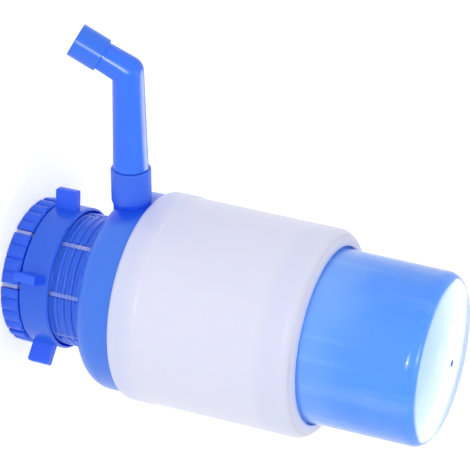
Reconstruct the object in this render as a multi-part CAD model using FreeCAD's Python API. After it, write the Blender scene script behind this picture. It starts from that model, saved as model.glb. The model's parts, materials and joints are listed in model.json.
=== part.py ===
"""Hand pump for a large water jug, in millimetres.

The frame: +Z is the pump's axis, with the press cap up and the collet down. The origin is on the axis
at the collet's mouth. The spout points along -Y. Every piece is one solid, written to parts/NAME.step.
"""
import FreeCAD
import Part
import math
import os

os.makedirs("parts", exist_ok=True)

# Jug neck and the soft sleeve that grips it
neck_r = 27.5
sleeve_wall = 0.9
sleeve_upper_wall = 0.5
sleeve_grip_length = 20.0
sleeve_gap = 0.1
washer_thickness = 2.0
washer_inner_r = 20.5
key_height = 1.1
key_rib_height = 0.25
key_flute_gap = 0.3
key_side_gap = 0.25

# Split collet of the base body
collet_root_wall = 1.1
thread_height = 0.7
thread_pitch = 3.47
thread_base_width = 2.3
thread_ridges = 8
ridge_foot_depth = 0.3
thread_top_gap = 4.1
collet_height = 40.5
finger_count = 8
slit_width = 2.5
slit_top_gap = 2.7
slit_azimuth = -59.5

# Fluted flange at the finger tips
tip_height = 8.5
flutes_per_finger = 4
flute_peak_r = 33.2
flute_depth = 1.3
tip_chamfer = 0.9
tip_lead_in = 0.6

# Base body above the collet
floor_thickness = 2.5
shoulder_r = 45.1
shoulder_round = 10.0
shoulder_height = 19.1
shoulder_wall = 2.2
spigot_height = 13.0
spigot_wall = 2.2
snap_bead_height = 0.4
snap_bead_rise = 6.5
deck_ledge_rise = 3.3
deck_ledge_width = 2.2
air_hole_r = 2.5
air_hole_circle_r = 15.5
air_hole_step = 45

# Water way through the base body
water_bore_r = 3.5
water_tube_r = 8.1
nipple_boss_r = 8.0
nipple_boss_drop = 2.5
nipple_seat_depth = 7.0

# Spout socket
spout_rise = 9.4
socket_r = 8.9
socket_length = 15.0
socket_stand_off = 1.6
socket_cone_length = 2.6
socket_bore_r = 6.4
socket_rim_round = 0.8

# Spout pipe and nozzle
spigot_running_gap = 0.08
spout_shoulder_gap = 0.3
spout_foot_r = 7.8
spout_top_r = 6.85
spout_bore_r = 4.6
spout_pipe_length = 45.6
elbow_angle = 60.0
spout_turn = 13.6
arm_end_r = 6.45
arm_length = 24.6
nozzle_length = 13.4
nozzle_reach = 26.0
nozzle_r = 7.6
nozzle_mouth_r = 5.0
nozzle_end_wall = 1.3
nozzle_round = 0.5
nozzle_fit_gap = 0.02

# Lock ring
ring_tip_gap = 0.6
ring_height = 14.05
ring_r = 32.3
ring_thread_gap = 0.3
ring_bevel = 0.7
ring_foot_bevel = 0.4
ring_mouth_r = 31.2
ring_mouth_depth = 3.0
ring_ridge_base_width = 1.8
ring_ridges = 3
tab_count = 5
tab_azimuth = -97.0
tab_reach = 9.4
tab_thickness = 3.9
tab_length = 10.3
tab_rise = 1.3
tab_round = 0.9

# Outer barrel
barrel_r = 47.3
barrel_lip_r = 46.35
barrel_wall = 2.2
barrel_height = 85.4
barrel_shoulder_round = 6.2
barrel_lip_thickness = 1.3
barrel_inner_round = 0.5
barrel_mouth_gap = 1.1
barrel_mouth_bevel = 0.25
skirt_band_height = 13.4
skirt_band_step = 0.55
skirt_band_slope = 1.6
skirt_foot_round = 2.4
barrel_fit_gap = 0.1

# Press cap
cap_draft = 0.4
cap_height = 200.0
cap_wall = 2.0
cap_dome_r = 152.0
cap_edge_round = 6.0
cap_flange_width = 5.4
cap_slide_gap = 0.25
cap_flange_gap = 0.3
cap_flange_round = 1.6
cap_flange_bevel = 0.6
cap_flange_thickness = 2.2
cap_skirt_clearance = 11.8
vent_r = 1.6
vent_tube_r = 8.0
vent_tube_wall = 1.5
push_ring_r = 27.0
push_ring_wall = 2.0
plate_drop = 5.6
stroke = 45.0

# Bellows and what holds it
deck_thickness = 2.5
deck_edge_gap = 0.2
plate_thickness = 2.5
plate_side_gap = 2.1
collar_inset = 5.1
collar_wall = 2.0
collar_height = 6.5
collar_root_gap = 0.4
cuff_wall = 1.0
cuff_gap = 0.3
cuff_base_gap = 0.02
bellows_side_gap = 1.5
bellows_root_inset = 0.1
bellows_wall = 1.0
bellows_folds = 12
fold_flat = 1.4
clamp_wall = 2.0
clamp_height = 4.5

# Valves, the same set twice
disc_r = 7.0
disc_thickness = 1.0
disc_lift = 1.2
disc_end_gap = 0.05
cage_r = 9.0
cage_side_gap = 0.6
cage_rim = 1.4
cage_floor = 1.5
cage_spoke = 1.4
port_r = 1.1
port_circle_r = 4.0
port_count = 6

# O-rings and their grooves
deck_ring_section_r = 0.75
spout_ring_section_r = 0.52
spout_ring_inset = 5.0
nipple_ring_section_r = 0.6
oring_gap = 0.02

# Dip tube nipple
nipple_spigot_r = 5.6
nipple_flange_r = 7.6
nipple_flange_thickness = 1.6
nipple_r = 4.9
nipple_bore_r = 3.2
nipple_length = 13.0
nipple_lead_in = 0.8

# Radii and heights that follow from the sizes above
collet_bore_r = neck_r + sleeve_wall + sleeve_gap
thread_root_r = collet_bore_r + collet_root_wall
thread_crest_r = thread_root_r + thread_height
thread_top_z = collet_height - thread_top_gap
floor_top_z = collet_height + floor_thickness
shoulder_top_z = collet_height + shoulder_height
socket_start_r = shoulder_r + socket_stand_off
socket_mouth_r = socket_start_r + socket_length
elbow_r = socket_mouth_r + spout_pipe_length
spigot_r = barrel_r - skirt_band_step - barrel_wall - barrel_fit_gap
spigot_top_z = shoulder_top_z + spigot_height
spigot_bore_r = spigot_r - spigot_wall
cap_flange_r = min(barrel_lip_r - barrel_wall, spigot_r + barrel_fit_gap) - cap_slide_gap
cap_r = cap_flange_r - cap_flange_width
cap_top_r = cap_r - cap_draft
barrel_mouth_r = cap_r + barrel_mouth_gap
plate_r = cap_top_r - cap_wall - plate_side_gap
collar_r = plate_r - collar_inset
bellows_crest_r = cap_r - cap_wall - bellows_side_gap
bellows_root_r = collar_r - bellows_root_inset
deck_z = shoulder_top_z + deck_ledge_rise
deck_top_z = deck_z + deck_thickness
spout_z = collet_height + spout_rise
barrel_top_z = shoulder_top_z + barrel_height
cap_inner_top_z = cap_height - cap_wall
plate_top_z = cap_inner_top_z - plate_drop
plate_z = plate_top_z - plate_thickness
cage_drop = disc_thickness + disc_lift + 2 * disc_end_gap

X_AXIS = FreeCAD.Vector(1, 0, 0)
Y_AXIS = FreeCAD.Vector(0, 1, 0)
Z_AXIS = FreeCAD.Vector(0, 0, 1)
CENTRE = FreeCAD.Vector(0, 0, 0)
FULL_TURN = 360


class Profile:
    """A closed outline in the (radius, height) half plane, turned about the Z axis."""

    def __init__(self, r, z):
        self.start = FreeCAD.Vector(r, 0, z)
        self.at = self.start
        self.edges = []

    def line(self, r, z):
        end = FreeCAD.Vector(r, 0, z)
        self.edges.append(Part.LineSegment(self.at, end).toShape())
        self.at = end
        return self

    def lines(self, points):
        for r, z in points:
            self.line(r, z)
        return self

    def arc(self, via_r, via_z, r, z):
        end = FreeCAD.Vector(r, 0, z)
        self.edges.append(Part.Arc(self.at, FreeCAD.Vector(via_r, 0, via_z), end).toShape())
        self.at = end
        return self

    def quarter(self, centre_r, centre_z, r, z):
        """A round corner about a centre, ending at (r, z)."""
        return self.round(FreeCAD.Vector(centre_r, 0, centre_z), r, z)

    def round(self, centre, r, z):
        """The shorter arc about a centre, ending at (r, z)."""
        end = FreeCAD.Vector(r, 0, z)
        middle = (self.at + end) * 0.5 - centre
        middle = centre + middle * ((self.at - centre).Length / middle.Length)
        return self.arc(middle.x, middle.z, r, z)

    def turned(self):
        if (self.at - self.start).Length > 1e-6:
            self.line(self.start.x, self.start.z)
        face = Part.Face(Part.Wire(self.edges))
        return face.revolve(CENTRE, Z_AXIS, FULL_TURN)


def tube(outer_r, inner_r, z, height):
    """A plain ring about the Z axis."""
    return Profile(inner_r, z).lines([(outer_r, z), (outer_r, z + height), (inner_r, z + height)]).turned()


def rod(r, z, height):
    return Part.makeCylinder(r, height, FreeCAD.Vector(0, 0, z))


def around(shape, count, azimuth=0.0, step=None):
    """Copies of a shape, turned about the Z axis."""
    step = FULL_TURN / count if step is None else step
    return [shape.rotated(CENTRE, Z_AXIS, azimuth + step * k) for k in range(count)]


def block(x_low, x_high, width, z_low, z_high):
    """A box that straddles the XZ plane."""
    corner = FreeCAD.Vector(x_low, -width / 2, z_low)
    return Part.makeBox(x_high - x_low, width, z_high - z_low, corner)


def ridge(root_r, crest_r, z, base_width):
    """A closed, rounded thread ridge, outward or inward, with its foot sunk in the wall."""
    foot_r = root_r - math.copysign(ridge_foot_depth, crest_r - root_r)
    profile = Profile(foot_r, z - base_width / 2).line(root_r, z - base_width / 2)
    profile.arc(crest_r, z, root_r, z + base_width / 2)
    return profile.line(foot_r, z + base_width / 2).turned()


def o_ring(ring_r, section_r, z):
    return Part.makeTorus(ring_r, section_r, FreeCAD.Vector(0, 0, z))


def radial(shape):
    """Turns a shape built along +Z from the axis so that it lies along -Y at the spout's height."""
    return shape.rotated(CENTRE, X_AXIS, 90).translated(FreeCAD.Vector(0, 0, spout_z))


def slits():
    """The cuts that split the collet into fingers."""
    slit = block(collet_bore_r - sleeve_gap, flute_peak_r + 1, slit_width, -1, collet_height - slit_top_gap)
    return around(slit, finger_count, slit_azimuth)


def fluted_flange():
    """The scalloped ring at the finger tips, one round ridge beside the other."""
    flute_count = finger_count * flutes_per_finger
    half_step = math.pi / flute_count
    valley_r = flute_peak_r - flute_depth
    half_width = valley_r * math.sin(half_step)
    rise = flute_peak_r - valley_r * math.cos(half_step)
    flute_r = (half_width ** 2 + rise ** 2) / (2 * rise)
    flute = Part.makeCylinder(flute_r, tip_height, FreeCAD.Vector(flute_peak_r - flute_r, 0, 0))
    inner = rod(collet_bore_r, 0, tip_height)
    core = rod(valley_r * math.cos(half_step), 0, tip_height)
    azimuth = slit_azimuth + FULL_TURN / flute_count / 2
    ring = core.multiFuse(around(flute, flute_count, azimuth)).cut(inner)
    limit = Profile(0, 0).lines([
        (flute_peak_r - tip_chamfer, 0),
        (flute_peak_r, tip_chamfer),
        (flute_peak_r, tip_height - tip_chamfer),
        (flute_peak_r - tip_chamfer, tip_height),
        (0, tip_height),
    ]).turned()
    return ring.common(limit)


def collet():
    """The threaded tube that is split into fingers."""
    wall = tube(thread_root_r, collet_bore_r, 0, collet_height)
    ridges = [
        ridge(thread_root_r, thread_crest_r, thread_top_z - thread_pitch * k, thread_base_width)
        for k in range(thread_ridges)
    ]
    whole = wall.multiFuse(ridges + [fluted_flange()])
    lead_in = Part.makeCone(collet_bore_r + tip_lead_in, collet_bore_r, tip_lead_in)
    return whole.cut(slits() + [lead_in])


def shoulder():
    """The floor, the domed shoulder and the spigot that the barrel snaps over."""
    bead_z = shoulder_top_z + snap_bead_rise
    foot_r = shoulder_r - shoulder_round
    round_z = collet_height + shoulder_round
    inner_r = shoulder_r - shoulder_wall
    ledge_r = spigot_bore_r - deck_ledge_width
    profile = Profile(0, collet_height).line(foot_r, collet_height)
    profile.quarter(foot_r, round_z, shoulder_r, round_z)
    profile.lines([
        (shoulder_r, shoulder_top_z),
        (spigot_r, shoulder_top_z),
        (spigot_r, bead_z - snap_bead_height),
        (spigot_r + snap_bead_height, bead_z),
        (spigot_r, bead_z + snap_bead_height),
        (spigot_r, spigot_top_z),
        (spigot_bore_r, spigot_top_z),
        (spigot_bore_r, deck_top_z + 3 * snap_bead_height),
        (spigot_bore_r - snap_bead_height, deck_top_z + 2 * snap_bead_height),
        (spigot_bore_r, deck_top_z + snap_bead_height),
        (spigot_bore_r, deck_z),
        (ledge_r, deck_z),
        (ledge_r, shoulder_top_z),
        (inner_r, shoulder_top_z - (inner_r - ledge_r)),
        (inner_r, round_z),
    ])
    profile.quarter(foot_r, round_z, foot_r, collet_height + shoulder_wall)
    return profile.lines([(foot_r, floor_top_z), (0, floor_top_z)]).turned()


def spout_socket():
    """The water tube that leaves the shoulder and widens into the socket."""
    cone_start = socket_start_r - socket_cone_length
    profile = Profile(0, 0).lines([
        (water_tube_r, 0),
        (water_tube_r, cone_start),
        (socket_r, socket_start_r),
        (socket_r, socket_mouth_r - socket_rim_round),
    ])
    profile.quarter(
        socket_r - socket_rim_round, socket_mouth_r - socket_rim_round,
        socket_r - socket_rim_round, socket_mouth_r,
    )
    return radial(profile.line(0, socket_mouth_r).turned())


def base_body():
    """Collet, floor, shoulder and water way in one moulding."""
    boss_top_z = spout_z + water_tube_r
    boss_foot_z = collet_height - nipple_boss_drop
    boss = rod(nipple_boss_r, boss_foot_z, boss_top_z - boss_foot_z)
    body = shoulder().multiFuse([collet(), boss, spout_socket()])
    spigot_depth_r = socket_start_r + oring_gap
    water_way = radial(rod(water_bore_r, 0, spigot_depth_r + 1))
    socket_bore = radial(rod(socket_bore_r, spigot_depth_r, socket_mouth_r - spigot_depth_r + 1))
    riser = rod(water_bore_r, boss_foot_z, spout_z - boss_foot_z)
    nipple_seat = rod(nipple_spigot_r + oring_gap, boss_foot_z - 1, nipple_seat_depth + 1)
    hole = Part.makeCylinder(air_hole_r, floor_thickness + 2, FreeCAD.Vector(air_hole_circle_r, 0, collet_height - 1))
    hole_count = FULL_TURN // air_hole_step - 1
    holes = around(hole, hole_count, -90 + air_hole_step, air_hole_step)
    return body.cut([water_way, socket_bore, riser, nipple_seat] + holes)


def neck_seal():
    """The soft sleeve inside the collet, with its washer at the jug's rim and keys in the slits."""
    outer_r = neck_r + sleeve_wall
    upper_r = outer_r - sleeve_upper_wall
    top_z = collet_height - sleeve_gap
    washer_z = top_z - washer_thickness
    sleeve = Profile(neck_r, 0).lines([
        (outer_r, 0),
        (outer_r, top_z),
        (washer_inner_r, top_z),
        (washer_inner_r, washer_z),
        (upper_r, washer_z),
        (upper_r, sleeve_grip_length),
        (neck_r, sleeve_grip_length),
    ]).turned()
    key_width = slit_width - 2 * key_side_gap
    key_top_z = collet_height - slit_top_gap - key_side_gap
    key_foot_z = ring_tip_gap
    key_root_r = outer_r - sleeve_wall / 4
    tip_key_r = flute_peak_r - flute_depth - key_flute_gap
    rib_width = thread_pitch / 4
    keys = [
        block(key_root_r, outer_r + key_height, key_width, key_foot_z, key_top_z),
        block(key_root_r, tip_key_r, key_width, key_foot_z, tip_height - tip_chamfer),
    ]
    rib_z = key_top_z - rib_width
    while rib_z > tip_height + rib_width:
        keys.append(block(
            outer_r, outer_r + key_height + key_rib_height, key_width, rib_z - rib_width / 2, rib_z + rib_width / 2,
        ))
        rib_z -= thread_pitch / 2
    key = keys[0].multiFuse(keys[1:]).removeSplitter()
    return sleeve.multiFuse(around(key, finger_count, slit_azimuth))


def lock_ring():
    """The ring that squeezes the fingers, with its tabs."""
    foot_z = tip_height + ring_tip_gap
    top_z = foot_z + ring_height
    bore_r = thread_crest_r + ring_thread_gap
    ring = Profile(bore_r, foot_z).lines([
        (ring_r - ring_foot_bevel, foot_z),
        (ring_r, foot_z + ring_foot_bevel),
        (ring_r, top_z - ring_bevel),
        (ring_r - ring_bevel, top_z),
        (ring_mouth_r, top_z),
        (ring_mouth_r - ring_thread_gap, top_z - ring_mouth_depth),
        (bore_r, top_z - ring_mouth_depth - ring_thread_gap),
    ]).turned()
    thread_below = [thread_top_z - thread_pitch * (k + 0.5) for k in range(thread_ridges)]
    ring_ridge_z = [z for z in thread_below if z < top_z - ring_mouth_depth - ring_ridge_base_width][:ring_ridges]
    crest_r = thread_root_r + ring_thread_gap
    ridges = [ridge(bore_r, crest_r, z, ring_ridge_base_width) for z in ring_ridge_z]
    tab_z = foot_z + tab_rise
    tab = block(ring_r - ring_bevel, ring_r + tab_reach, tab_thickness, tab_z, tab_z + tab_length)
    outer_edges = [edge for edge in tab.Edges if edge.BoundBox.XMin > ring_r + 1]
    tab = tab.makeFillet(tab_round, outer_edges)
    return ring.multiFuse(ridges + around(tab, tab_count, tab_azimuth))


def outer_barrel():
    """The white sleeve round the bellows, with a lip that keeps the cap in."""
    foot_z = shoulder_top_z
    bore_r = spigot_r + barrel_fit_gap
    bead_z = foot_z + snap_bead_rise
    band_top_z = foot_z + skirt_band_height
    wall_r = barrel_r - skirt_band_step
    end_round = min(barrel_shoulder_round, barrel_lip_r - barrel_mouth_r - 2 * barrel_mouth_bevel)
    round_z = barrel_top_z - end_round
    lip_z = barrel_top_z - barrel_lip_thickness
    upper_bore_r = barrel_lip_r - barrel_wall
    corner_r = upper_bore_r - barrel_inner_round
    groove = snap_bead_height + barrel_fit_gap
    profile = Profile(bore_r, foot_z).line(barrel_r - skirt_foot_round, foot_z)
    profile.quarter(barrel_r - skirt_foot_round, foot_z + skirt_foot_round, barrel_r, foot_z + skirt_foot_round)
    profile.line(barrel_r, band_top_z - skirt_band_slope)
    profile.line(wall_r, band_top_z)
    profile.line(barrel_lip_r, round_z)
    profile.quarter(barrel_lip_r - end_round, round_z, barrel_lip_r - end_round, barrel_top_z)
    profile.line(barrel_mouth_r + barrel_mouth_bevel, barrel_top_z)
    profile.line(barrel_mouth_r, barrel_top_z - barrel_mouth_bevel)
    profile.line(barrel_mouth_r, lip_z)
    profile.line(corner_r, lip_z)
    profile.quarter(corner_r, lip_z - barrel_inner_round, upper_bore_r, lip_z - barrel_inner_round)
    profile.lines([
        (bore_r, spigot_top_z),
        (bore_r, bead_z + groove),
        (bore_r + groove, bead_z),
        (bore_r, bead_z - groove),
    ])
    return profile.turned()


def cap_dome_z(r, dome_r):
    """The height of the cap's domed end, or of a surface parallel to it, at a distance from the axis."""
    return cap_height - cap_dome_r + math.sqrt(dome_r ** 2 - r ** 2)


def stand_off(outer_r, wall):
    """A ring on the top plate that reaches into the middle of the cap's end wall."""
    top_z = cap_dome_z(outer_r, cap_dome_r - cap_wall / 2)
    return tube(outer_r, outer_r - wall, plate_top_z, top_z - plate_top_z)


def press_cap():
    """The cup that the hand presses, with the flange and skirt that guide it in the barrel."""
    flange_top_z = barrel_top_z - barrel_lip_thickness - cap_flange_gap
    skirt_foot_z = spigot_top_z + stroke + cap_skirt_clearance
    flange_z = flange_top_z - cap_flange_thickness
    inner_r = cap_r - cap_wall
    skirt_inner_r = cap_flange_r - cap_wall
    dome_centre = FreeCAD.Vector(0, 0, cap_height - cap_dome_r)
    inner_dome_r = cap_dome_r - cap_wall
    round_r = cap_top_r - cap_edge_round
    round_rise = math.sqrt((cap_dome_r - cap_edge_round) ** 2 - round_r ** 2)
    round_centre = dome_centre + FreeCAD.Vector(round_r, 0, round_rise)
    to_round = (round_centre - dome_centre).normalize()
    dome_end = dome_centre + to_round * cap_dome_r
    inner_dome_end = dome_centre + to_round * inner_dome_r
    profile = Profile(vent_r, cap_dome_z(vent_r, cap_dome_r))
    profile.round(dome_centre, dome_end.x, dome_end.z)
    profile.round(round_centre, cap_top_r, round_centre.z)
    profile.line(cap_r, flange_top_z + cap_flange_round)
    profile.quarter(cap_r + cap_flange_round, flange_top_z + cap_flange_round, cap_r + cap_flange_round, flange_top_z)
    profile.lines([
        (cap_flange_r - cap_flange_bevel, flange_top_z),
        (cap_flange_r, flange_top_z - cap_flange_bevel),
        (cap_flange_r, skirt_foot_z),
        (skirt_inner_r, skirt_foot_z),
        (skirt_inner_r, flange_z),
        (inner_r, flange_z),
        (cap_top_r - cap_wall, round_centre.z),
    ])
    profile.round(round_centre, inner_dome_end.x, inner_dome_end.z)
    profile.round(dome_centre, vent_r, cap_dome_z(vent_r, inner_dome_r))
    cup = profile.turned()
    return cup.multiFuse([
        stand_off(vent_tube_r, vent_tube_wall),
        stand_off(push_ring_r, push_ring_wall),
    ])


def valve_ports(z, thickness):
    port = Part.makeCylinder(port_r, thickness + 2, FreeCAD.Vector(port_circle_r, 0, z - 1))
    return around(port, port_count)


def cage_housing(seat_z):
    """The short tube under a valve seat that the cage snaps into."""
    inner_r = disc_r + cage_side_gap
    return tube(cage_r, inner_r, seat_z - cage_drop - cage_floor, cage_drop + cage_floor + disc_thickness)


def valve_cage(seat_z):
    """The spoked ring that keeps a valve disc under its seat."""
    top_z = seat_z - cage_drop
    outer_r = disc_r + cage_side_gap - oring_gap
    ring = tube(outer_r, outer_r - cage_rim, top_z - cage_floor, cage_floor)
    spoke = block(-outer_r + cage_rim / 2, outer_r - cage_rim / 2, cage_spoke, top_z - cage_floor, top_z)
    return ring.multiFuse([spoke, spoke.rotated(CENTRE, Z_AXIS, 90)])


def valve_disc(seat_z):
    return rod(disc_r, seat_z - cage_drop + disc_end_gap, disc_thickness)


def bellows_top_plate():
    """Closes the bellows: a disc with a collar for the cuff and the intake valve's seat."""
    disc = rod(plate_r, plate_z, plate_thickness)
    collar = tube(collar_r, collar_r - collar_wall, plate_z - collar_height, collar_height + plate_thickness / 2)
    return disc.multiFuse([collar, cage_housing(plate_z)]).cut(valve_ports(plate_z, plate_thickness))


def valve_deck():
    """The floor under the bellows: a disc with a collar, the outlet valve's seat and a rebate for its seal."""
    deck_r = spigot_bore_r - deck_edge_gap
    rebate = 2 * deck_ring_section_r + 2 * oring_gap
    disc = Profile(0, deck_z).lines([
        (deck_r - rebate, deck_z),
        (deck_r - rebate, deck_z + rebate),
        (deck_r, deck_z + rebate),
        (deck_r, deck_top_z),
        (0, deck_top_z),
    ]).turned()
    root_z = deck_top_z - deck_thickness / 2
    collar = tube(collar_r, collar_r - collar_wall, root_z, deck_top_z + collar_height - root_z)
    return disc.multiFuse([collar, cage_housing(deck_z)]).cut(valve_ports(deck_z, deck_thickness))


def deck_seal():
    ring_r = spigot_bore_r - deck_ring_section_r - oring_gap - deck_edge_gap / 2
    return o_ring(ring_r, deck_ring_section_r, deck_z + deck_ring_section_r + oring_gap)


def bellows():
    """The folded air bag, open at both cuffs."""
    foot_z = deck_top_z + collar_root_gap
    head_z = plate_z - collar_root_gap
    first_z = deck_top_z + collar_height
    last_z = plate_z - collar_height
    pitch = (last_z - first_z) / bellows_folds
    base_inner_r = collar_r + cuff_base_gap
    top_inner_r = collar_r + cuff_gap
    flat = fold_flat / 2
    outer = [(base_inner_r + cuff_wall, foot_z), (base_inner_r + cuff_wall, first_z - flat)]
    inner = [(base_inner_r, foot_z), (base_inner_r, first_z + flat)]
    for k in range(bellows_folds):
        crest_z = first_z + pitch * (k + 0.5)
        root_z = first_z + pitch * (k + 1)
        outer += [(bellows_crest_r, crest_z - flat), (bellows_crest_r, crest_z + flat)]
        inner += [(bellows_crest_r - bellows_wall, crest_z - flat), (bellows_crest_r - bellows_wall, crest_z + flat)]
        if k < bellows_folds - 1:
            outer += [(bellows_root_r, root_z - flat), (bellows_root_r, root_z + flat)]
            inner += [(bellows_root_r - bellows_wall, root_z - flat), (bellows_root_r - bellows_wall, root_z + flat)]
    outer += [(top_inner_r + cuff_wall, last_z + flat), (top_inner_r + cuff_wall, head_z)]
    inner += [(top_inner_r, last_z - flat), (top_inner_r, head_z)]
    return Profile(*inner[0]).lines(outer + inner[:0:-1]).turned()


def bellows_base_clamp():
    inner_r = collar_r + cuff_base_gap + cuff_wall + cuff_base_gap
    return tube(inner_r + clamp_wall, inner_r, deck_top_z + collar_root_gap, clamp_height)


def bellows_top_clamp():
    inner_r = collar_r + cuff_gap + cuff_wall + cuff_gap
    return tube(inner_r + clamp_wall, inner_r, plate_z - collar_root_gap - clamp_height, clamp_height)


def dip_tube_nipple():
    """The spigot in the base body's boss, a flange, and the nose that the dip tube pushes over."""
    flange_top_z = collet_height - nipple_boss_drop
    flange_z = flange_top_z - nipple_flange_thickness
    nose_z = flange_z - nipple_length
    top_z = flange_top_z + nipple_seat_depth - oring_gap
    groove_z = flange_top_z + nipple_seat_depth / 2
    groove_r = nipple_spigot_r - 2 * nipple_ring_section_r - oring_gap
    half_groove = nipple_ring_section_r + oring_gap
    return Profile(nipple_bore_r, nose_z).lines([
        (nipple_r - nipple_lead_in, nose_z),
        (nipple_r, nose_z + 2 * nipple_lead_in),
        (nipple_r, flange_z),
        (nipple_flange_r, flange_z),
        (nipple_flange_r, flange_top_z),
        (nipple_spigot_r, flange_top_z),
        (nipple_spigot_r, groove_z - half_groove),
        (groove_r, groove_z - half_groove),
        (groove_r, groove_z + half_groove),
        (nipple_spigot_r, groove_z + half_groove),
        (nipple_spigot_r, top_z),
        (nipple_bore_r, top_z),
    ]).turned()


def nipple_seal():
    z = collet_height - nipple_boss_drop + nipple_seat_depth / 2
    return o_ring(nipple_spigot_r - nipple_ring_section_r, nipple_ring_section_r, z)


def arm_place(shape):
    """Moves a shape built along +Z so that it starts at the elbow and follows the bent, turned arm."""
    bend = FreeCAD.Rotation(X_AXIS, 90 + elbow_angle)
    swivel = FreeCAD.Rotation(Y_AXIS, -spout_turn)
    moved = shape.copy()
    moved.Placement = FreeCAD.Placement(FreeCAD.Vector(0, -elbow_r, spout_z), swivel * bend)
    return moved


def spout_pipe():
    """Spigot, tapering pipe, elbow and arm, with one bore through all."""
    spigot_end_r = socket_start_r + 2 * oring_gap
    spigot_outer_r = socket_bore_r - spigot_running_gap
    shoulder_r = socket_mouth_r + spout_shoulder_gap
    ring_r = spigot_end_r + spout_ring_inset
    groove_r = spigot_outer_r - 2 * spout_ring_section_r + oring_gap
    half_groove = spout_ring_section_r + oring_gap
    pipe = Profile(0, spigot_end_r).lines([
        (spigot_outer_r - socket_rim_round, spigot_end_r),
        (spigot_outer_r, spigot_end_r + socket_rim_round),
        (spigot_outer_r, ring_r - half_groove),
        (groove_r, ring_r - half_groove),
        (groove_r, ring_r + half_groove),
        (spigot_outer_r, ring_r + half_groove),
        (spigot_outer_r, shoulder_r),
        (spout_foot_r, shoulder_r),
        (spout_top_r, elbow_r),
        (0, elbow_r),
    ]).turned()
    nozzle_root = nozzle_reach - nozzle_length
    arm = arm_place(Profile(0, 0).lines([
        (spout_top_r, 0),
        (arm_end_r, nozzle_root),
        (arm_end_r, arm_length),
        (0, arm_length),
    ]).turned())
    elbow_centre = FreeCAD.Vector(0, -elbow_r, spout_z)
    elbow = Part.makeSphere(spout_top_r, elbow_centre)
    bore = radial(rod(spout_bore_r, spigot_end_r - 1, elbow_r - spigot_end_r + 1))
    arm_bore = arm_place(rod(spout_bore_r, 0, arm_length + 1))
    elbow_bore = Part.makeSphere(spout_bore_r, elbow_centre)
    return radial(pipe).multiFuse([elbow, arm]).cut([bore, elbow_bore, arm_bore])


def spout_seal():
    ring_r = socket_bore_r - spigot_running_gap - spout_ring_section_r + 2 * oring_gap
    return radial(o_ring(ring_r, spout_ring_section_r, socket_start_r + 2 * oring_gap + spout_ring_inset))


def spout_nozzle():
    """The sleeve pushed over the arm's end, with a smaller mouth."""
    root = nozzle_reach - nozzle_length
    bore_r = arm_end_r + nozzle_fit_gap
    end_z = nozzle_reach - nozzle_end_wall
    profile = Profile(bore_r, root).line(nozzle_r - nozzle_round, root)
    profile.quarter(nozzle_r - nozzle_round, root + nozzle_round, nozzle_r, root + nozzle_round)
    profile.line(nozzle_r, nozzle_reach - nozzle_round)
    profile.quarter(nozzle_r - nozzle_round, nozzle_reach - nozzle_round, nozzle_r - nozzle_round, nozzle_reach)
    profile.lines([(nozzle_mouth_r, nozzle_reach), (nozzle_mouth_r, end_z), (bore_r, end_z)])
    return arm_place(profile.turned())


PIECES = {
    "base_body": base_body(),
    "neck_seal": neck_seal(),
    "lock_ring": lock_ring(),
    "outer_barrel": outer_barrel(),
    "press_cap": press_cap(),
    "bellows": bellows(),
    "bellows_top_plate": bellows_top_plate(),
    "bellows_top_clamp": bellows_top_clamp(),
    "bellows_base_clamp": bellows_base_clamp(),
    "valve_deck": valve_deck(),
    "deck_seal": deck_seal(),
    "intake_valve_disc": valve_disc(plate_z),
    "intake_valve_cage": valve_cage(plate_z),
    "outlet_valve_disc": valve_disc(deck_z),
    "outlet_valve_cage": valve_cage(deck_z),
    "dip_tube_nipple": dip_tube_nipple(),
    "nipple_seal": nipple_seal(),
    "spout_pipe": spout_pipe(),
    "spout_seal": spout_seal(),
    "spout_nozzle": spout_nozzle(),
}

for name, shape in PIECES.items():
    solids = shape.Solids
    box = shape.BoundBox
    print(f"{name}: {len(solids)} solid, valid {shape.isValid()}, volume {shape.Volume:.1f}, "
          f"z {box.ZMin:.2f} to {box.ZMax:.2f}, y {box.YMin:.2f} to {box.YMax:.2f}")
    single = solids[0] if len(solids) == 1 else shape
    single.exportStep(f"parts/{name}.step")
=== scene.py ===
"""Looks of the water jug hand pump: finishes, the blown bellows, studio and camera.

Metres, +Z up the pump's axis towards the press cap, the spout along -Y.
"""
import bpy
import json
import math
from mathutils import Matrix, Vector

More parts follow.
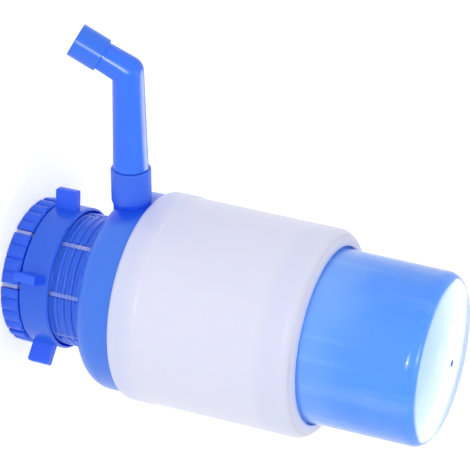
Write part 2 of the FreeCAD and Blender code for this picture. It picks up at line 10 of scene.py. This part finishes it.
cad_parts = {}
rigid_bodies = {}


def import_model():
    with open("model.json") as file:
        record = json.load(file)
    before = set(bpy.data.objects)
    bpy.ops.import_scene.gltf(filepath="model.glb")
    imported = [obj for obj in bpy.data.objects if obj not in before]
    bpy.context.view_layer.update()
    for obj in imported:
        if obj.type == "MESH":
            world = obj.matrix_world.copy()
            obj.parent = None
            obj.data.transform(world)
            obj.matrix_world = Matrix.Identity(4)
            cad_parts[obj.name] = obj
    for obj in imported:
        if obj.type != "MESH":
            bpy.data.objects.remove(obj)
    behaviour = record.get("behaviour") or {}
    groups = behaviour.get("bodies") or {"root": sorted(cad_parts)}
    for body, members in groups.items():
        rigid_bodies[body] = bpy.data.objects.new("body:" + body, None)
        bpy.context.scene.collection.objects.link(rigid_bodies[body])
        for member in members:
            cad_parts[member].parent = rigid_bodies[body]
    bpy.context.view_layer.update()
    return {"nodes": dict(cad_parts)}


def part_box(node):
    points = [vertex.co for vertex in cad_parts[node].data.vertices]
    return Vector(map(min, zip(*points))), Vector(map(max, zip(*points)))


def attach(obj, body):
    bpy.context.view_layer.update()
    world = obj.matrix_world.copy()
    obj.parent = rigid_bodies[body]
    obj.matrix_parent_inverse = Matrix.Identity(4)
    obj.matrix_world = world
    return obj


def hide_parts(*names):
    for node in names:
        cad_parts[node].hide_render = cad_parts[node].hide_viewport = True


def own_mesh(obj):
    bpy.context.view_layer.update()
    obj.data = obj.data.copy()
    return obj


for thing in list(bpy.data.objects):
    bpy.data.objects.remove(thing, do_unlink=True)

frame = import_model()

MM = 0.001

# Where the photograph was taken from
CAMERA_PLACE = Vector((0.7650, -0.4968, 0.4499))
CAMERA_AIM = Vector((-0.01733, -0.02898, 0.09152))
CAMERA_ROLL = math.radians(102.14)
CAMERA_LENS = 170.5
CAMERA_SENSOR = 36.0

# The small panel beside the camera that draws the thin highlights along the spout
KEY_PANEL_DOWN = 0.15
KEY_PANEL_LEFT = 0.09
KEY_PANEL_SIZE = (0.09, 0.09)
KEY_PANEL_RADIANCE = 55.0

# The large panel behind the pump that whitens the cap's end and the pipe's edge
CAP_PANEL_TILT = math.radians(30)
CAP_PANEL_DISTANCE = 0.7
CAP_PANEL_SIZE = (0.65, 0.6)
CAP_PANEL_RADIANCE = 4.0

# The small panel above the cap that draws the highlights on its rim
RIM_PANEL_OFFSET = Vector((0.06, 0.0, 0.6))
RIM_PANEL_SIZE = (0.06, 0.06)
RIM_PANEL_RADIANCE = 30.0

# Level of the white room's light on the pump, where the room itself is seen as white
FILL_LIGHT = 0.84

FLOOR_REACH = 3.0
FLOOR_GAP = 0.1 * MM
FLOOR_ROUGHNESS = 0.9
FLOOR_GLOW = 0.42

# Bellows, blown in one piece round the collars of deck and top plate
BELLOWS_FOLDS = 12
BELLOWS_CREST_R = 35.0 * MM
BELLOWS_ROOT_R = 28.8 * MM
BELLOWS_CUFF_R = 29.95 * MM
BELLOWS_CUFF_LENGTH = 6.3 * MM
BELLOWS_WALL = 0.9 * MM
BELLOWS_STEPS_PER_FOLD = 14
BELLOWS_CUFF_STEPS = 6
BELLOWS_SEGMENTS = 120
BELLOWS_SEAM_REACH = 0.01 * MM


def linear(red, green, blue):
    """A screen colour, 0 to 255, as the linear colour that a shader takes."""
    shares = [value / 255 for value in (red, green, blue)]
    return tuple(s / 12.92 if s <= 0.04045 else ((s + 0.055) / 1.055) ** 2.4 for s in shares) + (1.0,)


# Where one tone of a moulding passes into another: it begins at the first place and ends at the second
# Painted shade on the collet fades out towards the shoulder over this height
COLLET_SHADE_FADE = (37.5 * MM, 43.5 * MM)
# Painted shadow of the spout on the shoulder: how far it reaches round the spout, where it starts outwards
# along -Y, and where it passes into the socket's own blue
ROOT_SHADOW_REACH = (12.5 * MM, 8.8 * MM)
ROOT_SHADOW_OUTSIDE = (-30.0 * MM, -34.0 * MM)
SOCKET_FROM_ROOT_SHADOW = (-44.0 * MM, -50.0 * MM)
CAP_PALING = (172.0 * MM, 136.0 * MM)
SPIGOT_SHOWING = (64.0 * MM, 74.5 * MM)
SKIRT_SHOWING = (126.0 * MM, 133.0 * MM)
# Painted shadow: how much wider it spreads sideways than up and down
ROOT_SHADOW_FLATNESS = 0.66
SPOUT_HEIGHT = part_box("spout_seal")[0].lerp(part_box("spout_seal")[1], 0.5).z

# How strongly the patterns show
CAP_STREAK_SHARE = 0.3
CAP_CLOUD_SHARE = 0.3
CAP_PALE_SHARE = 0.55
BASE_CLOUD_SHARE = 0.35
SPIGOT_SHARE = 0.55
SKIRT_SHARE = 0.35
BARREL_CLOUD_SHARE = 0.16
# Share of the sleeve's painted highlights
SLEEVE_HIGHLIGHT_SHARE = 0.8
DUST_SHARE = 0.12

# What every moulding has in common
PLASTIC_IOR = 1.49
SUBSURFACE_RADIUS = (1.0 * MM, 2.0 * MM, 6.0 * MM)
GLOSS_SPREAD = 0.12
MARK_ROUGHNESS = 0.12
DUST_ROUGHNESS = 0.3
BUMP_STRENGTH = 0.6
CLOUD_SCALE = 40.0

# Colours of the mouldings
CAP_BLUE = linear(71, 143, 252)
CAP_BLUE_PALE = linear(126, 176, 255)
SHOULDER_BLUE = linear(62, 127, 255)
# The collet's blue darkened as painted shade; the dip tube nipple takes the same blue
SHADED_COLLET_BLUE = linear(44, 108, 247)
SOCKET_BLUE = linear(56, 114, 252)
# Painted shadow round the spout's root
ROOT_SHADOW_BLUE = linear(26, 90, 242)
RING_BLUE = linear(46, 112, 251)
PIPE_BLUE = linear(40, 110, 244)
NOZZLE_BLUE = linear(47, 117, 243)
BARREL_WHITE = linear(227, 228, 255)
BARREL_TINT = linear(208, 216, 250)
SLEEVE_MILK = linear(134, 160, 246)
# Pale colour of the sleeve's painted highlights
SLEEVE_PAINTED_HIGHLIGHT = linear(214, 214, 238)
BELLOWS_WHITE = linear(232, 233, 230)
INNER_WHITE = linear(225, 226, 226)
SILICONE = linear(214, 216, 214)
NITRILE = linear(34, 34, 36)
DUST_GREY = linear(205, 204, 200)
WORN_PALING = (0.10, 0.10, 0.10, 1.0)
BASE_DEEPENING = (0.86, 0.88, 0.95, 1.0)
CLOUD_DEEPENING = (0.8, 0.82, 0.9, 1.0)
PAPER = (0.92, 0.92, 0.92, 1.0)
FILL = (FILL_LIGHT, FILL_LIGHT, FILL_LIGHT, 1.0)
WHITE = (1.0, 1.0, 1.0, 1.0)


class Tree:
    """Short calls that add nodes to one node tree and link them."""

    def __init__(self, tree):
        self.tree = tree

    def add(self, kind, settings=None, **inputs):
        node = self.tree.nodes.new(kind)
        for name, value in (settings or {}).items():
            setattr(node, name, value)
        for name, value in inputs.items():
            self.feed(node.inputs[name.replace("_", " ")], value)
        return node

    def feed(self, socket, value):
        if isinstance(value, bpy.types.NodeSocket):
            self.tree.links.new(value, socket)
        else:
            socket.default_value = value

    def maths(self, operation, first, second=0.0, third=0.0):
        node = self.tree.nodes.new("ShaderNodeMath")
        node.operation = operation
        for socket, value in zip(node.inputs, (first, second, third)):
            self.feed(socket, value)
        return node.outputs[0]

    def band(self, value, low, high):
        """Turns a number into 0 to 1, smoothly, as it goes from low to high."""
        node = self.add("ShaderNodeMapRange", {"interpolation_type": "SMOOTHSTEP"}, Value=value)
        node.inputs["From Min"].default_value = low
        node.inputs["From Max"].default_value = high
        return node.outputs["Result"]

    def mix(self, share, first, second, blend="MIX"):
        node = self.add("ShaderNodeMix", {"data_type": "RGBA", "blend_type": blend})
        self.feed(node.inputs[0], share)
        self.feed(node.inputs[6], first)
        self.feed(node.inputs[7], second)
        return node.outputs[2]

    def place(self):
        return self.add("ShaderNodeTexCoord").outputs["Object"]

    def stretched(self, scale):
        return self.add("ShaderNodeMapping", Vector=self.place(), Scale=scale).outputs["Vector"]

    def noise(self, vector, scale, detail=2.0, distortion=0.0):
        node = self.add("ShaderNodeTexNoise", Vector=vector, Scale=scale, Detail=detail)
        node.inputs["Distortion"].default_value = distortion
        return node.outputs["Fac"]


def shader_group(name, inputs, outputs):
    """An empty shader group with named number inputs and typed outputs."""
    group = bpy.data.node_groups.new(name, "ShaderNodeTree")
    for label, value in inputs.items():
        socket = group.interface.new_socket(name=label, in_out="INPUT", socket_type="NodeSocketFloat")
        socket.default_value = value
    for label, kind in outputs.items():
        group.interface.new_socket(name=label, in_out="OUTPUT", socket_type=kind)
    start = group.nodes.new("NodeGroupInput")
    end = group.nodes.new("NodeGroupOutput")
    return Tree(group), start.outputs, end.inputs


def moulded_skin():
    """The fine orange peel of a moulding, its slow waviness, and the uneven gloss of both."""
    tree, given, put = shader_group(
        "moulded_skin",
        {"Grain": 900.0, "Wave": 60.0},
        {"Height": "NodeSocketFloat", "Gloss": "NodeSocketFloat"},
    )
    place = tree.place()
    peel = tree.noise(place, given["Grain"], 3.0)
    wave = tree.noise(place, given["Wave"], 1.0)
    tree.feed(put["Height"], tree.maths("ADD", tree.maths("MULTIPLY", peel, 0.4), wave))
    patches = tree.noise(place, 38.0, 4.0, 0.6)
    tree.feed(put["Gloss"], tree.maths("SUBTRACT", patches, 0.5))
    return tree.tree


def hairline_marks():
    """Fine scuffs from handling: thin curved lines in a few places, as a mask."""
    tree, given, put = shader_group(
        "hairline_marks",
        {"Scale": 55.0, "Width": 0.006},
        {"Mask": "NodeSocketFloat"},
    )
    line = tree.noise(tree.stretched((1.0, 1.0, 0.35)), given["Scale"], 1.5, 1.2)
    near = tree.maths("ABSOLUTE", tree.maths("SUBTRACT", line, 0.5))
    thin = tree.maths("SUBTRACT", 1.0, tree.maths("DIVIDE", near, given["Width"]))
    where = tree.band(tree.noise(tree.place(), 24.0, 2.0), 0.56, 0.68)
    tree.feed(put["Mask"], tree.maths("MULTIPLY", tree.maths("MAXIMUM", thin, 0.0), where))
    return tree.tree


def settled_dust():
    """Single specks of dust, sparse and of uneven size, as a mask."""
    tree, given, put = shader_group(
        "settled_dust",
        {"Scale": 900.0, "Share": 0.05},
        {"Mask": "NodeSocketFloat"},
    )
    cells = tree.add("ShaderNodeTexVoronoi", Vector=tree.place(), Scale=given["Scale"])
    pick = tree.add("ShaderNodeSeparateColor", Color=cells.outputs["Color"])
    chosen = tree.maths("LESS_THAN", pick.outputs["Red"], given["Share"])
    size = tree.maths("MULTIPLY_ADD", pick.outputs["Green"], 0.16, 0.06)
    speck = tree.maths("LESS_THAN", cells.outputs["Distance"], size)
    tree.feed(put["Mask"], tree.maths("MULTIPLY", chosen, speck))
    return tree.tree


def worn_edge():
    """Edges rounded as light sees them, and a mask of where they are."""
    tree, given, put = shader_group(
        "worn_edge",
        {"Radius": 0.0003, "Grip": 6.0},
        {"Normal": "NodeSocketVector", "Mask": "NodeSocketFloat"},
    )
    rounded = tree.add("ShaderNodeBevel", {"samples": 4}, Radius=given["Radius"]).outputs["Normal"]
    flat = tree.add("ShaderNodeNewGeometry").outputs["Normal"]
    dot = tree.add("ShaderNodeVectorMath", {"operation": "DOT_PRODUCT"})
    tree.feed(dot.inputs[0], rounded)
    tree.feed(dot.inputs[1], flat)
    turn = tree.maths("SUBTRACT", 1.0, dot.outputs["Value"])
    uneven = tree.noise(tree.place(), 160.0, 3.0)
    edge = tree.maths("MULTIPLY", tree.maths("MULTIPLY", turn, given["Grip"]), uneven)
    tree.feed(put["Normal"], rounded)
    tree.feed(put["Mask"], tree.maths("MINIMUM", edge, 1.0))
    return tree.tree


SKIN = moulded_skin()
MARKS = hairline_marks()
DUST = settled_dust()
EDGE = worn_edge()


def placed(tree, group, **inputs):
    node = tree.add("ShaderNodeGroup", {"node_tree": group}, **inputs)
    return node.outputs


def finish(name, colour, roughness, grain=900.0, relief=0.02 * MM, edge_radius=0.3 * MM, wear=0.25,
           marks=0.3, subsurface=0.0):
    """A moulded plastic or rubber. colour is a value, or a function that adds nodes and gives a socket."""
    material = bpy.data.materials.new(name)
    material.use_nodes = True
    tree = Tree(material.node_tree)
    shader = material.node_tree.nodes["Principled BSDF"]
    shader.inputs["IOR"].default_value = PLASTIC_IOR
    shader.inputs["Subsurface Weight"].default_value = subsurface
    shader.inputs["Subsurface Radius"].default_value = SUBSURFACE_RADIUS
    shader.inputs["Subsurface Scale"].default_value = 1.0
    skin = placed(tree, SKIN, Grain=grain)
    edge = placed(tree, EDGE, Radius=edge_radius)
    line = placed(tree, MARKS)
    speck = placed(tree, DUST)
    base = colour(tree) if callable(colour) else colour
    lighter = tree.mix(1.0, base, WORN_PALING, "ADD")
    shaded = tree.mix(tree.maths("MULTIPLY", edge["Mask"], wear), base, lighter)
    scuffed = tree.mix(tree.maths("MULTIPLY", line["Mask"], marks), shaded, lighter)
    dusty = tree.mix(tree.maths("MULTIPLY", speck["Mask"], DUST_SHARE), scuffed, DUST_GREY)
    tree.feed(shader.inputs["Base Color"], dusty)
    gloss = tree.maths("MULTIPLY_ADD", skin["Gloss"], GLOSS_SPREAD, roughness)
    gloss = tree.maths("MULTIPLY_ADD", line["Mask"], MARK_ROUGHNESS, gloss)
    gloss = tree.maths("MULTIPLY_ADD", speck["Mask"], DUST_ROUGHNESS, gloss)
    tree.feed(shader.inputs["Roughness"], gloss)
    bump = tree.add("ShaderNodeBump", Strength=BUMP_STRENGTH, Distance=relief, Height=skin["Height"],
                    Normal=edge["Normal"])
    tree.feed(shader.inputs["Normal"], bump.outputs["Normal"])
    return material


def axes_of(tree):
    parts = tree.add("ShaderNodeSeparateXYZ", Vector=tree.place())
    return parts.outputs["X"], parts.outputs["Y"], parts.outputs["Z"]


def cap_colour(tree):
    """Pale streaks along the draw of the mould, slow cloudiness, and a paler foot above the barrel."""
    streak = tree.band(tree.noise(tree.stretched((1.0, 1.0, 0.06)), 120.0, 3.0, 0.3), 0.5, 0.72)
    cloud = tree.band(tree.noise(tree.place(), 22.0, 2.0), 0.42, 0.7)
    near_barrel = tree.band(axes_of(tree)[2], *CAP_PALING)
    share = tree.maths("MULTIPLY", cloud, CAP_CLOUD_SHARE)
    share = tree.maths("MULTIPLY_ADD", streak, CAP_STREAK_SHARE, share)
    share = tree.maths("MULTIPLY_ADD", near_barrel, CAP_PALE_SHARE, share)
    return tree.mix(tree.maths("MINIMUM", share, 1.0), CAP_BLUE, CAP_BLUE_PALE)


def base_colour(tree):
    """Painted shade: darker blue over the collet's fingers and a painted shadow round the spout root,
    lighter blue over the shoulder.
    """
    x, y, z = axes_of(tree)
    # Painted shade: the collet below the shoulder is coloured darker than the shoulder
    body = tree.mix(tree.band(z, *COLLET_SHADE_FADE), SHADED_COLLET_BLUE, SHOULDER_BLUE)
    # Painted shadow: darker blue round the spout root on the shoulder, passing into the socket's own blue
    # further out
    beside = tree.maths("MULTIPLY", x, ROOT_SHADOW_FLATNESS)
    off_axis = tree.add("ShaderNodeCombineXYZ", X=beside, Z=tree.maths("SUBTRACT", z, SPOUT_HEIGHT))
    reach = tree.add("ShaderNodeVectorMath", {"operation": "LENGTH"})
    tree.feed(reach.inputs[0], off_axis.outputs[0])
    round_spout_shadow = tree.band(reach.outputs["Value"], *ROOT_SHADOW_REACH)
    shadow_outside = tree.band(y, *ROOT_SHADOW_OUTSIDE)
    socket = tree.mix(tree.band(y, *SOCKET_FROM_ROOT_SHADOW), ROOT_SHADOW_BLUE, SOCKET_BLUE)
    body = tree.mix(tree.maths("MULTIPLY", round_spout_shadow, shadow_outside), body, socket)
    cloud = tree.band(tree.noise(tree.place(), 30.0, 3.0), 0.35, 0.75)
    deeper = tree.mix(1.0, body, BASE_DEEPENING, "MULTIPLY")
    return tree.mix(tree.maths("MULTIPLY", cloud, BASE_CLOUD_SHARE), body, deeper)


def barrel_colour(tree):
    """Milky plastic: the blue spigot and the cap's skirt show faintly through the wall."""
    height = axes_of(tree)[2]
    spigot = tree.maths("SUBTRACT", 1.0, tree.band(height, *SPIGOT_SHOWING))
    skirt = tree.maths("MULTIPLY", tree.band(height, *SKIRT_SHOWING), SKIRT_SHARE)
    cloud = tree.band(tree.noise(tree.place(), 18.0, 3.0), 0.4, 0.75)
    cloud = tree.maths("MULTIPLY", cloud, BARREL_CLOUD_SHARE)
    share = tree.maths("ADD", tree.maths("ADD", tree.maths("MULTIPLY", spigot, SPIGOT_SHARE), skirt), cloud)
    return tree.mix(tree.maths("MINIMUM", share, 1.0), BARREL_WHITE, BARREL_TINT)


def sleeve_colour(tree):
    """Milky rubber with slow pale patches painted in as highlights."""
    # Painted highlights: pale patches over the milky rubber
    cloud = tree.band(tree.noise(tree.stretched((1.0, 1.0, 0.6)), 95.0, 2.0, 0.5), 0.42, 0.7)
    return tree.mix(tree.maths("MULTIPLY", cloud, SLEEVE_HIGHLIGHT_SHARE), SLEEVE_MILK, SLEEVE_PAINTED_HIGHLIGHT)


def clouded(colour, depth=0.48):
    """Slightly uneven colour for a plain moulding."""
    def nodes(tree):
        cloud = tree.noise(tree.place(), CLOUD_SCALE, 3.0)
        deeper = tree.mix(1.0, colour, CLOUD_DEEPENING, "MULTIPLY")
        return tree.mix(tree.maths("MULTIPLY", cloud, depth), colour, deeper)
    return nodes


def paint(material, *nodes):
    for node in nodes:
        for slot in frame["nodes"][node].material_slots:
            slot.material = material


paint(finish("cap_plastic", cap_colour, 0.2, relief=0.03 * MM, edge_radius=0.4 * MM, subsurface=0.15),
      "press_cap")
paint(finish("base_plastic", base_colour, 0.3, edge_radius=0.25 * MM, subsurface=0.6), "base_body")
paint(finish("ring_plastic", clouded(RING_BLUE), 0.3, edge_radius=0.4 * MM, subsurface=0.6), "lock_ring")
paint(finish("pipe_plastic", clouded(PIPE_BLUE, depth=0.24), 0.25), "spout_pipe")
paint(finish("nozzle_plastic", clouded(NOZZLE_BLUE, depth=0.24), 0.25), "spout_nozzle")
paint(finish("barrel_plastic", barrel_colour, 0.34, subsurface=0.25, marks=0.08), "outer_barrel")
paint(finish("sleeve_rubber", sleeve_colour, 0.42, grain=1400.0, subsurface=0.2, marks=0.0), "neck_seal")
paint(finish("inner_plastic", clouded(INNER_WHITE), 0.45), "bellows_top_plate", "bellows_top_clamp",
      "bellows_base_clamp", "valve_deck", "intake_valve_cage", "outlet_valve_cage")
paint(finish("nipple_plastic", clouded(SHADED_COLLET_BLUE), 0.35), "dip_tube_nipple")
paint(finish("valve_silicone", clouded(SILICONE), 0.5, marks=0.0), "intake_valve_disc", "outlet_valve_disc")
paint(finish("ring_nitrile", clouded(NITRILE), 0.42, marks=0.0), "deck_seal", "nipple_seal", "spout_seal")
bellows_plastic = finish("bellows_plastic", clouded(BELLOWS_WHITE), 0.4, marks=0.0, subsurface=0.2)


class Shape(Tree):
    """A geometry tree with named inputs for its sizes."""

    def __init__(self, name, sizes):
        super().__init__(bpy.data.node_groups.new(name, "GeometryNodeTree"))
        face = self.tree.interface
        face.new_socket(name="Geometry", in_out="INPUT", socket_type="NodeSocketGeometry")
        for label, value in sizes.items():
            kind = "NodeSocketInt" if isinstance(value, int) else "NodeSocketFloat"
            face.new_socket(name=label, in_out="INPUT", socket_type=kind)
        face.new_socket(name="Geometry", in_out="OUTPUT", socket_type="NodeSocketGeometry")
        self.given = self.tree.nodes.new("NodeGroupInput").outputs
        self.put = self.tree.nodes.new("NodeGroupOutput").inputs
        self.sizes = sizes

    def end(self, geometry, material):
        real = self.add("GeometryNodeRealizeInstances", Geometry=geometry)
        done = self.add("GeometryNodeSetMaterial", Geometry=real.outputs["Geometry"], Material=material)
        self.feed(self.put["Geometry"], done.outputs["Geometry"])

    def made(self, name, wall=0.0):
        """The tree's result as a plain mesh object, with a wall turned inwards if one is given."""
        thing = bpy.data.objects.new(name, bpy.data.meshes.new(name + "_seed"))
        bpy.context.scene.collection.objects.link(thing)
        maker = thing.modifiers.new("shape", "NODES")
        maker.node_group = self.tree
        for item in self.tree.interface.items_tree:
            if item.in_out == "INPUT" and item.name in self.sizes:
                maker[item.identifier] = self.sizes[item.name]
        if wall:
            shell = thing.modifiers.new("wall", "SOLIDIFY")
            shell.thickness = wall
            shell.offset = -1.0
        bpy.context.view_layer.update()
        graph = bpy.context.evaluated_depsgraph_get()
        mesh = bpy.data.meshes.new_from_object(thing.evaluated_get(graph))
        thing.modifiers.clear()
        thing.data = mesh
        mesh.name = name
        for polygon in mesh.polygons:
            polygon.use_smooth = True
        return thing


def blown_bellows():
    """Round folds between two straight cuffs, closed round the axis."""
    low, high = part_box("bellows")
    fold_rows = BELLOWS_FOLDS * BELLOWS_STEPS_PER_FOLD
    rows = fold_rows + 2 * BELLOWS_CUFF_STEPS + 1
    shape = Shape("round_folds", {
        "Foot": low.z, "Head": high.z, "Cuff Length": BELLOWS_CUFF_LENGTH, "Cuff Radius": BELLOWS_CUFF_R,
        "Root Radius": BELLOWS_ROOT_R, "Crest Radius": BELLOWS_CREST_R, "Folds": BELLOWS_FOLDS,
        "Rows": rows, "Segments": BELLOWS_SEGMENTS + 1,
    })
    given = shape.given
    grid = shape.add("GeometryNodeMeshGrid")
    shape.feed(grid.inputs["Vertices X"], given["Segments"])
    shape.feed(grid.inputs["Vertices Y"], given["Rows"])
    spot = shape.add("ShaderNodeSeparateXYZ", Vector=shape.add("GeometryNodeInputPosition").outputs[0])
    turn = shape.maths("MULTIPLY", shape.maths("ADD", spot.outputs["X"], 0.5), 2 * math.pi)
    up = shape.maths("ADD", spot.outputs["Y"], 0.5)
    first = shape.maths("ADD", given["Foot"], given["Cuff Length"])
    last = shape.maths("SUBTRACT", given["Head"], given["Cuff Length"])
    whole = shape.maths("SUBTRACT", given["Head"], given["Foot"])
    height = shape.maths("MULTIPLY_ADD", up, whole, given["Foot"])
    folded = shape.maths("SUBTRACT", last, first)
    along = shape.maths("DIVIDE", shape.maths("SUBTRACT", height, first), folded)
    along = shape.maths("MINIMUM", shape.maths("MAXIMUM", along, 0.0), 1.0)
    phase = shape.maths("MULTIPLY", shape.maths("MULTIPLY", along, given["Folds"]), 2 * math.pi)
    wave = shape.maths("MULTIPLY_ADD", shape.maths("COSINE", phase), -0.5, 0.5)
    half_fold = shape.maths("DIVIDE", 0.5, given["Folds"])
    near_foot = shape.maths("LESS_THAN", along, half_fold)
    near_head = shape.maths("GREATER_THAN", along, shape.maths("SUBTRACT", 1.0, half_fold))
    at_cuff = shape.maths("MAXIMUM", near_foot, near_head)
    widening = shape.maths("SUBTRACT", given["Cuff Radius"], given["Root Radius"])
    extra = shape.maths("MULTIPLY", at_cuff, widening)
    inner = shape.maths("ADD", given["Root Radius"], extra)
    radius = shape.maths("MULTIPLY_ADD", wave, shape.maths("SUBTRACT", given["Crest Radius"], inner), inner)
    x = shape.maths("MULTIPLY", radius, shape.maths("COSINE", turn))
    y = shape.maths("MULTIPLY", radius, shape.maths("SINE", turn))
    place = shape.add("ShaderNodeCombineXYZ", X=x, Y=y, Z=height)
    moved = shape.add("GeometryNodeSetPosition", Geometry=grid.outputs["Mesh"], Position=place.outputs[0])
    closed = shape.add("GeometryNodeMergeByDistance", Geometry=moved.outputs["Geometry"],
                       Distance=BELLOWS_SEAM_REACH)
    shape.end(closed.outputs["Geometry"], bellows_plastic)
    thing = shape.made("blown_bellows", wall=BELLOWS_WALL)
    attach(thing, "pump_base")
    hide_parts("bellows")
    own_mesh(thing)


blown_bellows()


def floor():
    """Pale paper that glows a little where it is seen, so that it fades into the white room."""
    mesh = bpy.data.meshes.new("floor")
    ways = ((-1, -1), (1, -1), (1, 1), (-1, 1))
    corners = [(FLOOR_REACH * x, FLOOR_REACH * y, -FLOOR_GAP) for x, y in ways]
    mesh.from_pydata(corners, [], [(0, 1, 2, 3)])
    thing = bpy.data.objects.new("floor", mesh)
    bpy.context.scene.collection.objects.link(thing)
    material = bpy.data.materials.new("floor_paper")
    material.use_nodes = True
    tree = Tree(material.node_tree)
    shader = material.node_tree.nodes["Principled BSDF"]
    shader.inputs["Base Color"].default_value = PAPER
    shader.inputs["Roughness"].default_value = FLOOR_ROUGHNESS
    shader.inputs["Emission Color"].default_value = WHITE
    path = tree.add("ShaderNodeLightPath")
    seen = tree.maths("MAXIMUM", path.outputs["Is Camera Ray"], path.outputs["Is Glossy Ray"])
    tree.feed(shader.inputs["Emission Strength"], tree.maths("MULTIPLY", seen, FLOOR_GLOW))
    mesh.materials.append(material)


floor()


def studio():
    """An even white room: white where it is seen, at a plain level where it lights."""
    world = bpy.data.worlds.new("studio")
    bpy.context.scene.world = world
    world.use_nodes = True
    tree = Tree(world.node_tree)
    background = world.node_tree.nodes["Background"]
    path = tree.add("ShaderNodeLightPath")
    looking = tree.maths("MAXIMUM", path.outputs["Is Camera Ray"], path.outputs["Is Transmission Ray"])
    seen = tree.maths("MAXIMUM", looking, path.outputs["Is Glossy Ray"])
    tree.feed(background.inputs["Color"], tree.mix(seen, FILL, WHITE))


studio()


def panel(name, place, aim, size, radiance):
    """A soft white panel whose face has the given brightness, where 1 is white."""
    width, height = size
    data = bpy.data.lights.new(name, "AREA")
    data.shape = "RECTANGLE"
    data.size = width
    data.size_y = height
    data.energy = radiance * math.pi * width * height
    thing = bpy.data.objects.new(name, data)
    bpy.context.scene.collection.objects.link(thing)
    thing.location = place
    thing.rotation_euler = (Vector(aim) - Vector(place)).to_track_quat("-Z", "Y").to_euler()
    thing.visible_camera = False
    return thing


UP = Vector((0, 0, 1))
view_line = (CAMERA_AIM - CAMERA_PLACE).normalized()
view_right = view_line.cross(UP).normalized()
view_up = view_right.cross(view_line)
image_right = view_right * math.cos(CAMERA_ROLL) + view_up * math.sin(CAMERA_ROLL)
image_up = view_up * math.cos(CAMERA_ROLL) - view_right * math.sin(CAMERA_ROLL)
cap_centre = Vector((0, 0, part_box("press_cap")[1].z))

key_place = CAMERA_PLACE - image_up * KEY_PANEL_DOWN - image_right * KEY_PANEL_LEFT
panel("key_panel", key_place, CAMERA_AIM, KEY_PANEL_SIZE, KEY_PANEL_RADIANCE)

# The cap's panel shows only in the gloss of the cap and the pipe
away = Vector((cap_centre.x - CAMERA_PLACE.x, cap_centre.y - CAMERA_PLACE.y, 0)).normalized()
off_cap = away * math.cos(CAP_PANEL_TILT) + UP * math.sin(CAP_PANEL_TILT)
cap_panel_place = cap_centre + off_cap * CAP_PANEL_DISTANCE
cap_panel = panel("cap_panel", cap_panel_place, cap_centre, CAP_PANEL_SIZE, CAP_PANEL_RADIANCE)
cap_panel.visible_diffuse = False
mirroring = bpy.data.collections.new("mirroring")
for node in ("press_cap", "spout_pipe"):
    mirroring.objects.link(frame["nodes"][node])
cap_panel.light_linking.receiver_collection = mirroring

panel("end_lamp", cap_centre + RIM_PANEL_OFFSET, cap_centre, RIM_PANEL_SIZE, RIM_PANEL_RADIANCE)

camera_data = bpy.data.cameras.new("camera")
camera_data.lens = CAMERA_LENS
camera_data.sensor_width = CAMERA_SENSOR
camera = bpy.data.objects.new("camera", camera_data)
bpy.context.scene.collection.objects.link(camera)
turn = (CAMERA_AIM - CAMERA_PLACE).to_track_quat("-Z", "Y").to_matrix()
rolled = turn @ Matrix.Rotation(CAMERA_ROLL, 3, "Z")
camera.matrix_world = Matrix.Translation(CAMERA_PLACE) @ rolled.to_4x4()
bpy.context.scene.camera = camera

bpy.context.scene.view_settings.view_transform = "Standard"
